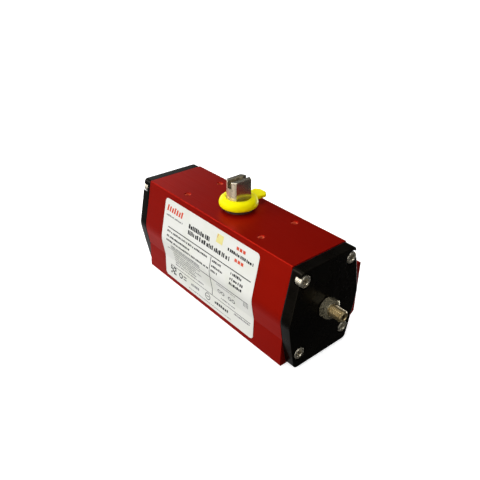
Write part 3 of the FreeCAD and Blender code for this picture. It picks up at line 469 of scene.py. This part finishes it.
def hexagon_reach(across, angle):
    """How far out a hexagon's side lies at an angle, with corners at 30 degrees, 90 and so on."""
    sixth = math.pi / 3
    return across / 2 / math.cos((angle + sixth / 2) % sixth - sixth / 2)


def hexagon_loop(across, height, count):
    loop = []
    for angle in turns(count):
        reach = hexagon_reach(across, angle)
        loop.append((reach * math.cos(angle), reach * math.sin(angle), height))
    return loop


LOOPS_PER_PITCH = 10
# How steeply a thread's flanks fall, in depths to half a pitch, and how much its flat crests cut off.
THREAD_FLANK = 1.3
THREAD_CLIP = 0.15


def thread_loops(start, end, crest, depth, pitch, count, lead_in):
    """Loops of a right-handed screw thread from start to end, tapered over lead_in at both ends."""
    steps = max(2, math.ceil(abs(end - start) / pitch * LOOPS_PER_PITCH))
    loops = []
    for step in range(steps + 1):
        height = start + (end - start) * step / steps
        from_end = min(abs(height - start), abs(end - height))
        taper = max(0.0, 1.0 - from_end / lead_in)
        loop = []
        for angle in turns(count):
            phase = (height / pitch - angle / (2 * math.pi)) % 1.0
            groove = min(1.0, max(0.0, THREAD_FLANK * abs(2 * phase - 1) - THREAD_CLIP))
            reach = crest - depth * max(groove, taper)
            loop.append((reach * math.cos(angle), reach * math.sin(angle), height))
        loops.append(loop)
    return loops


def place(shape, origin, along, across):
    """Move a shape made in mm round the Z axis so that its axis runs along a direction from an origin."""
    third = along.cross(across)
    points, faces = shape
    return [tuple(origin + (across * x + third * y + along * z) * MM) for x, y, z in points], faces


def along_bore(side, y, z):
    """Origin, axis and crosswise direction of a piece that runs outwards along the bore to an end."""
    sign = SIDES[side]
    return Vector((0, y, z)), Vector((sign, 0, 0)), Vector((0, sign, 0))


def span_from_shaft(node, side):
    """Where a node starts and ends along the bore, in mm from the shaft's axis, and its middle height."""
    low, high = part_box(node)
    ends = (low.x / MM, high.x / MM) if SIDES[side] > 0 else (-high.x / MM, -low.x / MM)
    return *ends, (low.z + high.z) / 2


# Points closer than this are one, and faces that meet flatter than this are one, before edges are broken.
MERGE_DISTANCE = 0.002 * MM
FLAT_ANGLE = math.radians(0.8)
# A face whose normal rises less than this is upright.
UPRIGHT = 0.1

# How far the edges of the caps and of the shaft are broken.
CAP_EDGE = 0.4 * MM
SHAFT_EDGE = 0.25 * MM
# The shaft is turned outside this radius, and milled flat inside it.
TURNED_RADIUS = 8.2 * MM


def softened_copy(node, width, material, clamp=True):
    """A copy of a node with its sharp edges broken, which stands for it.

    Clamping narrows every broken edge to what the tightest spot allows, which would leave a cap's sharp.
    """
    source = NODES[node]
    work = bmesh.new()
    work.from_mesh(source.data)
    work.transform(source.matrix_world)
    bmesh.ops.remove_doubles(work, verts=work.verts, dist=MERGE_DISTANCE)
    bmesh.ops.dissolve_limit(work, angle_limit=FLAT_ANGLE, verts=work.verts, edges=work.edges)
    sharp = [edge for edge in work.edges
             if len(edge.link_faces) == 2 and edge.calc_face_angle() > SHARP_ANGLE]
    bmesh.ops.bevel(work, geom=sharp, offset=width, segments=2, profile=0.5, affect="EDGES",
                    clamp_overlap=clamp)
    mesh = bpy.data.meshes.new(f"{node}_softened")
    work.to_mesh(mesh)
    work.free()
    finish_piece(f"{node}_softened", mesh, material, BODY_OF[node], (node,))
    return mesh


def paint_turned_faces_lit(mesh, material, radius):
    """A second, lighter finish on the upright faces that lie further than a radius from the shaft's axis:
    partly a turned finish, partly painted light for the light on the shaft's side.
    """
    mesh.materials.append(materials[material])
    for face in mesh.polygons:
        if math.hypot(face.center.x, face.center.y) > radius and abs(face.normal.z) < UPRIGHT:
            face.material_index = 1


# ---------------------------------------------------------------- screws and nuts

# How many points a turned loop has. Sizes of screws, nuts and threads are in mm.
ROUND = 120

SCREW_HEAD_RADIUS = 4.25
SCREW_HEAD_HEIGHT = 5.0
SCREW_SHANK_RADIUS = 2.5
SCREW_SOCKET = 4.0
SCREW_SOCKET_RIM = 2.4
SCREW_SOCKET_DEPTH = 2.6
SCREW_POINT_CHAMFER = 0.6
HEAD_FOOT_CHAMFER = 0.25
# The knurl starts this far above the head's seat and ends this far below its face, and then runs out.
KNURL_START = 0.35
KNURL_END = 0.95
KNURL_RUNOUT = 0.10
KNURL_DEPTH = 0.14
KNURL_WAVES = 30
PLAIN_INSET = 0.02
# The rounding of the head's upper edge, as pairs of inset and drop from the face.
HEAD_ROUNDING = ((0.03, 0.55), (0.13, 0.28), (0.30, 0.11), (0.55, 0.02), (0.80, 0.0))


# A socket's chamfer in mm, and its drilled cone's radius and depth in widths across flats.
SOCKET_CHAMFER = 0.3
CONE_RADIUS = 0.4
CONE_DEPTH = 0.2
CONE_TIP = 0.1


def socket_loops(face, rim, across, depth):
    """From a face inwards: the lead-in chamfer, the hexagon's walls and a drilled cone at the bottom."""
    bottom = face - depth
    return [round_loop(rim, face, ROUND), hexagon_loop(across, face - SOCKET_CHAMFER, ROUND),
            hexagon_loop(across, bottom, ROUND), round_loop(across * CONE_RADIUS, bottom, ROUND),
            round_loop(CONE_TIP, bottom - across * CONE_DEPTH, ROUND)]


def cap_screw_shape(start, face):
    """A socket-head screw along Z: a plain shank, a knurled head and a hexagon socket."""
    seat = face - SCREW_HEAD_HEIGHT
    head = SCREW_HEAD_RADIUS
    loops = [round_loop(SCREW_SHANK_RADIUS - SCREW_POINT_CHAMFER, start, ROUND),
             round_loop(SCREW_SHANK_RADIUS, start + SCREW_POINT_CHAMFER, ROUND),
             round_loop(SCREW_SHANK_RADIUS, seat, ROUND),
             round_loop(head - HEAD_FOOT_CHAMFER, seat, ROUND),
             round_loop(head - PLAIN_INSET, seat + KNURL_START - KNURL_RUNOUT, ROUND)]
    for height in (seat + KNURL_START, face - KNURL_END):
        loops.append(round_loop(head, height, ROUND, ripple=KNURL_DEPTH, waves=KNURL_WAVES))
    loops.append(round_loop(head - PLAIN_INSET, face - KNURL_END + KNURL_RUNOUT, ROUND))
    for inset, drop in HEAD_ROUNDING:
        loops.append(round_loop(head - inset, face - drop, ROUND))
    loops += socket_loops(face, SCREW_SOCKET_RIM, SCREW_SOCKET, SCREW_SOCKET_DEPTH)
    return skin(loops)


def add_cap_screws(side):
    node = f"cap_screws_{side}"
    low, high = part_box(node)
    start, face, _ = span_from_shaft(node, side)
    inset = SCREW_HEAD_RADIUS * MM
    shapes = []
    for y in (low.y + inset, high.y - inset):
        for z in (low.z + inset, high.z - inset):
            shapes.append(place(cap_screw_shape(start, face), *along_bore(side, y, z)))
    mesh = solid_mesh(node, shapes)
    finish_piece(f"{node}_detail", mesh, "screw_steel", BODY_OF[node], (node,))


STOP_THREAD_PITCH = 1.25
STOP_THREAD_DEPTH = 0.62
STOP_POINT_CHAMFER = 0.9
STOP_RIM_INSET = 0.15
STOP_SOCKET = 4.0
STOP_SOCKET_RIM = 2.44
STOP_SOCKET_DEPTH = 5.0


def add_stop_screw(side):
    """A fully threaded set screw with a hexagon socket in its outer end."""
    node = f"stop_screw_{side}"
    low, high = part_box(node)
    start, end, height = span_from_shaft(node, side)
    crest = (high.z - low.z) / 2 / MM
    depth = STOP_THREAD_DEPTH
    loops = thread_loops(start, end, crest, depth, STOP_THREAD_PITCH, ROUND, STOP_POINT_CHAMFER)
    loops.append(round_loop(crest - depth - STOP_RIM_INSET, end, ROUND))
    loops += socket_loops(end, STOP_SOCKET_RIM, STOP_SOCKET, STOP_SOCKET_DEPTH)
    mesh = solid_mesh(node, [place(skin(loops), *along_bore(side, 0.0, height))])
    finish_piece(f"{node}_threaded", mesh, "stop_steel", BODY_OF[node], (node,))


NUT_BORE_RADIUS = 4.0
# The bore's chamfer, across and along.
NUT_BORE_CHAMFER = (0.4, 0.45)
NUT_CHAMFER_SLOPE = math.tan(math.radians(30))
# Where the cone that cuts the corners back starts, and where they end, in half widths across flats.
NUT_CROWN = 0.90
NUT_CORNER = 1.145


def add_stop_nut(side):
    """A hexagon nut whose corners are cut back by a cone on both faces."""
    node = f"stop_nut_{side}"
    low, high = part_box(node)
    start, end, height = span_from_shaft(node, side)
    across = (high.y - low.y) / MM
    flat_reach = across / 2
    crown = flat_reach * NUT_CROWN
    mouth = NUT_BORE_RADIUS + NUT_BORE_CHAMFER[0]

    def side_loop(face, inwards):
        loop = []
        for angle in turns(ROUND):
            reach = min(hexagon_reach(across, angle), flat_reach * NUT_CORNER)
            drop = (reach - crown) * NUT_CHAMFER_SLOPE
            loop.append((reach * math.cos(angle), reach * math.sin(angle), face + drop * inwards))
        return loop

    loops = [round_loop(NUT_BORE_RADIUS, start + NUT_BORE_CHAMFER[1], ROUND),
             round_loop(mouth, start, ROUND), round_loop(crown, start, ROUND),
             side_loop(start, 1.0), side_loop(end, -1.0),
             round_loop(crown, end, ROUND), round_loop(mouth, end, ROUND),
             round_loop(NUT_BORE_RADIUS, end - NUT_BORE_CHAMFER[1], ROUND)]
    mesh = solid_mesh(node, [place(skin(loops, joined=True), *along_bore(side, 0.0, height))])
    finish_piece(f"{node}_crowned", mesh, "nut_steel", BODY_OF[node], (node,))


# ---------------------------------------------------------------- threads in the tapped holes

THREAD_ROUND = 48
SLEEVE_WALL = 0.02
CREST_CLEARANCE = 0.01
# How far below a hole's rim its thread starts: past the housing's chamfer, almost at once in the shaft.
HOLE_MOUTH = 0.55
CENTRE_HOLE_MOUTH = 0.1
# Depth, pitch and length of the thread in the shaft's centre hole, which opens in the floor of its slot.
CENTRE_THREAD = (0.35, 1.0, 8.6)
SLOT_DEPTH = 5.0

# The threads of each pattern of holes that the record's mounts state: depth, pitch, length and finish.
TAPPED = {
    # the top accessory holes get a lighter red: a painted highlight, for the light on their far walls
    "accessory_pattern": (0.30, 0.8, 7.5, "hole_wall_painted_highlight"),
    "pilot_valve_pattern": (0.30, 0.8, 7.5, "anodised_red"),
    "valve_flange_small": (0.35, 1.0, 8.5, "anodised_red"),
    "valve_flange_large": (0.35, 1.25, 11.0, "anodised_red"),
    "air_ports": (0.75, 1.34, 11.0, "anodised_red"),
}


def tapped_sleeve(radius, depth, pitch, length, mouth):
    """A thin sleeve against a hole's wall, threaded inside, from mouth down to length below the rim."""
    wall = radius + SLEEVE_WALL
    start = -mouth
    end = -length
    loops = [round_loop(wall, start, THREAD_ROUND), round_loop(wall, end, THREAD_ROUND)]
    loops += thread_loops(end, start, radius - CREST_CLEARANCE, depth, pitch, THREAD_ROUND, lead_in=pitch)
    return skin(loops, joined=True)


def hole_spots(mount):
    """Where a stated pattern's holes open: it spreads along X and Y, or along X and Z on the port pad."""
    dims = mount["dims"]
    if "pcd_mm" in dims:
        half_x = half_y = dims["pcd_mm"] / 2 * math.sqrt(0.5) * MM
    else:
        half_x = dims["spacing_x_mm"] / 2 * MM
        half_y = dims.get("spacing_y_mm", 0.0) / 2 * MM
    second = Vector((0, 1, 0)) if mount["axis"][2] else Vector((0, 0, 1))
    rows = (-1, 1) if half_y else (0,)
    return [Vector(mount["pos_m"]) + Vector((half_x * column, 0, 0)) + second * (half_y * row)
            for column in (-1, 1) for row in rows]


def add_tapped_holes():
    """Threads in the housing's stated holes and the shaft's centre hole, by their stated sizes."""
    mounts = {mount["name"]: mount for mount in frame["record"]["mounts"]}
    for name, (depth, pitch, length, finish) in TAPPED.items():
        mount = mounts[name]
        axis = Vector(mount["axis"])
        across = axis.orthogonal().normalized()
        sleeve = tapped_sleeve(mount["dims"]["hole_r_mm"], depth, pitch, length, HOLE_MOUTH)
        mesh = solid_mesh(name, [place(sleeve, spot, axis, across) for spot in hole_spots(mount)])
        finish_piece(f"threads_{name}", mesh, finish, BODY_OF["housing"])
    slot_floor = Vector((0, 0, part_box("drive_shaft")[1].z - SLOT_DEPTH * MM))
    radius = mounts["shaft_centre_hole"]["dims"]["r_mm"]
    sleeve = tapped_sleeve(radius, *CENTRE_THREAD, CENTRE_HOLE_MOUTH)
    mesh = solid_mesh("shaft_centre", [place(sleeve, slot_floor, Vector((0, 0, 1)), Vector((1, 0, 0)))])
    finish_piece("threads_shaft_centre", mesh, "shaft_steel", BODY_OF["drive_shaft"])


# ---------------------------------------------------------------- print on the name plate

# Ink stands a little proud of the plate, and reaches a little into it.
INK_PROUD = 0.035 * MM
INK_SUNK = 0.02 * MM
# Ink is cut into strips about this high, in mm, so that it follows the plate's bends.
FOLLOW_STEP = 0.8
RING_STEPS = 30
DASH_SEED = 11
# A dash's least width and its choice of heights, both as shares of the greatest.
NARROWEST_DASH = 0.45
DASH_HEIGHTS = (1.0, 1.0, 0.78)
WORD_GAP_CHANCE = 0.2


class Plate:
    """The name plate's outer face, found by looking at it along +Y, as a place to print on."""

    def __init__(self):
        source = NODES["name_plate"]
        points = [source.matrix_world @ vertex.co for vertex in source.data.vertices]
        self.tree = BVHTree.FromPolygons(points, [tuple(face.vertices) for face in source.data.polygons])

    def at(self, x, z, lift):
        """The point over x, z in mm, lifted off the face along its normal."""
        spot, normal, _, _ = self.tree.ray_cast(Vector((x * MM, -1.0, z * MM)), Vector((0, 1, 0)))
        return tuple(spot + normal * lift)


def ink_patch(plate, mapping, across, along, closed=False):
    """A thin closed patch of ink: mapping turns s and t, each 0 to 1, into x and z on the plate in mm."""
    rows = along + 1
    columns = across if closed else across + 1
    points = []
    for lift in (INK_PROUD, -INK_SUNK):
        for column in range(columns):
            for row in range(rows):
                points.append(plate.at(*mapping(column / across, row / along), lift))
    layer = columns * rows
    faces = []
    for column in range(across):
        right = (column + 1) % columns
        for row in range(along):
            near = column * rows + row
            far = right * rows + row
            quad = (near, far, far + 1, near + 1)
            faces.append(quad)
            faces.append(tuple(layer + index for index in reversed(quad)))
        for row in (0, along):
            near = column * rows + row
            far = right * rows + row
            faces.append((near, far, layer + far, layer + near))
    if not closed:
        for column in (0, across):
            for row in range(along):
                near = column * rows + row
                faces.append((near, near + 1, layer + near + 1, layer + near))
    return points, faces


class Ink:
    """The print of one colour, as patches that follow the plate."""

    def __init__(self, plate):
        self.plate = plate
        self.shapes = []

    def bar(self, x0, x1, z0, z1, lean=0.0):
        """A bar from x0, z0 to x1, z1 whose upper end may lean along X."""
        rows = math.ceil((z1 - z0) / FOLLOW_STEP)

        def spot(s, t):
            return x0 + (x1 - x0) * s + lean * t, z0 + (z1 - z0) * t

        self.shapes.append(ink_patch(self.plate, spot, 1, rows))

    def ring(self, x, z, outer, inner):
        """A flat ring round x, z."""
        rows = math.ceil((outer - inner) / FOLLOW_STEP)

        def spot(s, t):
            angle = 2 * math.pi * s
            reach = inner + (outer - inner) * t
            return x + reach * math.cos(angle), z + reach * math.sin(angle)

        self.shapes.append(ink_patch(self.plate, spot, RING_STEPS, rows, closed=True))

    def dashes(self, x0, x1, z, height, draw, widest=1.9, gap=0.42, word_gap=1.0):
        """A row of plain dashes that stands for a line of small print."""
        x = x0
        while x < x1 - 0.5:
            width = min(draw.uniform(NARROWEST_DASH * widest, widest), x1 - x)
            self.bar(x, x + width, z, z + height * draw.choice(DASH_HEIGHTS))
            x += width + (word_gap if draw.random() < WORD_GAP_CHANCE else gap)

    def finish(self, name, material):
        finish_piece(name, solid_mesh(name, self.shapes), material, BODY_OF["name_plate"])


def add_plate_print():
    """A made-up layout of slanted bars, ruled rows of dashes, squares and rings, at x and z in mm."""
    plate = Plate()
    draw = random.Random(DASH_SEED)
    black, grey, red, yellow = (Ink(plate) for _ in range(4))

    for step in range(7):
        red.bar(-51.0 + step * 2.9, -49.2 + step * 2.9, 61.6, 66.4 - 0.5 * (step % 3), lean=0.9)
    grey.dashes(-51.0, -30.5, 57.8, 1.3, draw, 2.2)
    black.dashes(-22.8, 1.5, 58.3, 3.3, draw, 2.1, 0.5, 1.3)
    black.dashes(-22.8, 24.0, 53.9, 3.2, draw, 2.1, 0.5, 1.3)
    yellow.bar(8.2, 15.0, 61.2, 67.6, lean=0.5)
    red.bar(8.8, 9.5, 64.6, 67.0, lean=0.6)
    for z in (64.6, 56.2):
        for step in range(3):
            red.bar(29.0 + step * 3.2, 31.4 + step * 3.2, z, z + 2.2)
    black.dashes(21.0, 46.5, 60.4, 2.1, draw, 1.8, 0.35, 0.9)

    black.bar(-47.0, 47.0, 49.6, 50.3)
    for z, end in ((46.2, 2.0), (42.4, -18.0), (38.9, 4.5)):
        black.dashes(-47.5, end, z, 1.5, draw, 1.5)
        black.dashes(7.5, 7.5 + draw.uniform(7.0, 12.0), z, 1.6, draw, 1.5)
        black.dashes(27.5, 27.5 + draw.uniform(11.0, 15.0), z, 1.9, draw, 1.8)
    black.bar(5.7, 6.3, 16.8, 49.2)
    black.bar(-47.0, -6.5, 32.6, 33.0)
    black.bar(-6.5, 46.5, 32.4, 33.0)
    for z in (35.6, 34.0):
        grey.dashes(-42.0, -6.0, z, 1.2, draw, 1.6, 0.3, 0.6)
    for z, end in ((30.0, -6.0), (27.8, -12.0), (25.6, -6.0), (23.4, -14.0), (21.2, -13.0), (19.0, -4.0)):
        grey.dashes(-40.0, end, z, 1.1, draw, 1.6)
    grey.dashes(13.0, 33.0, 30.2, 1.0, draw, 1.4)
    for x in (14.5, 18.5, 26.0, 30.0):
        black.ring(x, 24.6, 1.7, 1.15)
    grey.dashes(16.0, 32.0, 18.8, 1.1, draw, 1.4)
    for step in range(4):
        grey.bar(41.0 + step * 1.4, 41.6 + step * 1.4, 28.0, 32.0, lean=0.8)
    black.bar(-47.0, 47.5, 16.2, 16.6)
    grey.dashes(30.5, 47.5, 13.9, 1.4, draw, 1.6)

    for column in range(4):
        for row in range(4):
            if (column + row) % 3 != 1:
                x = -46.8 + column * 1.85
                z = 9.0 + row * 1.75
                black.bar(x, x + 1.6, z, z + 1.5)
    black.ring(-33.4, 12.2, 2.4, 1.5)
    for z in (10.6, 12.9):
        black.bar(-29.8, -26.2, z, z + 0.9)
    grey.dashes(-20.0, -9.5, 10.9, 2.2, draw, 1.8)
    black.ring(0.6, 12.3, 3.0, 2.4)
    black.bar(-0.9, 2.1, 12.0, 12.6)
    black.dashes(9.0, 24.0, 11.0, 2.3, draw, 2.0, 0.6, 1.4)
    grey.dashes(-23.0, 27.0, 7.0, 0.8, draw, 1.4)

    black.finish("plate_print_black", "print_black")
    grey.finish("plate_print_grey", "print_grey")
    red.finish("plate_print_red", "print_red")
    yellow.finish("plate_print_yellow", "print_yellow")


# ---------------------------------------------------------------- putting it together

scene = bpy.context.scene
scene.view_settings.view_transform = "Standard"
materials = make_materials()
for node_name, slot_name in SLOT_OF.items():
    NODES[node_name].data.materials.clear()
    NODES[node_name].data.materials.append(materials[slot_name])
for side_name in SIDES:
    add_cap_screws(side_name)
    add_stop_screw(side_name)
    add_stop_nut(side_name)
    softened_copy(f"end_cap_{side_name}", CAP_EDGE, "cap_black", clamp=False)
shaft_mesh = softened_copy("drive_shaft", SHAFT_EDGE, "shaft_steel")
paint_turned_faces_lit(shaft_mesh, "shaft_turned_painted_lit", TURNED_RADIUS)
add_tapped_holes()
add_plate_print()
add_camera()
add_tent()
add_suns()
add_floor()
add_backdrop()
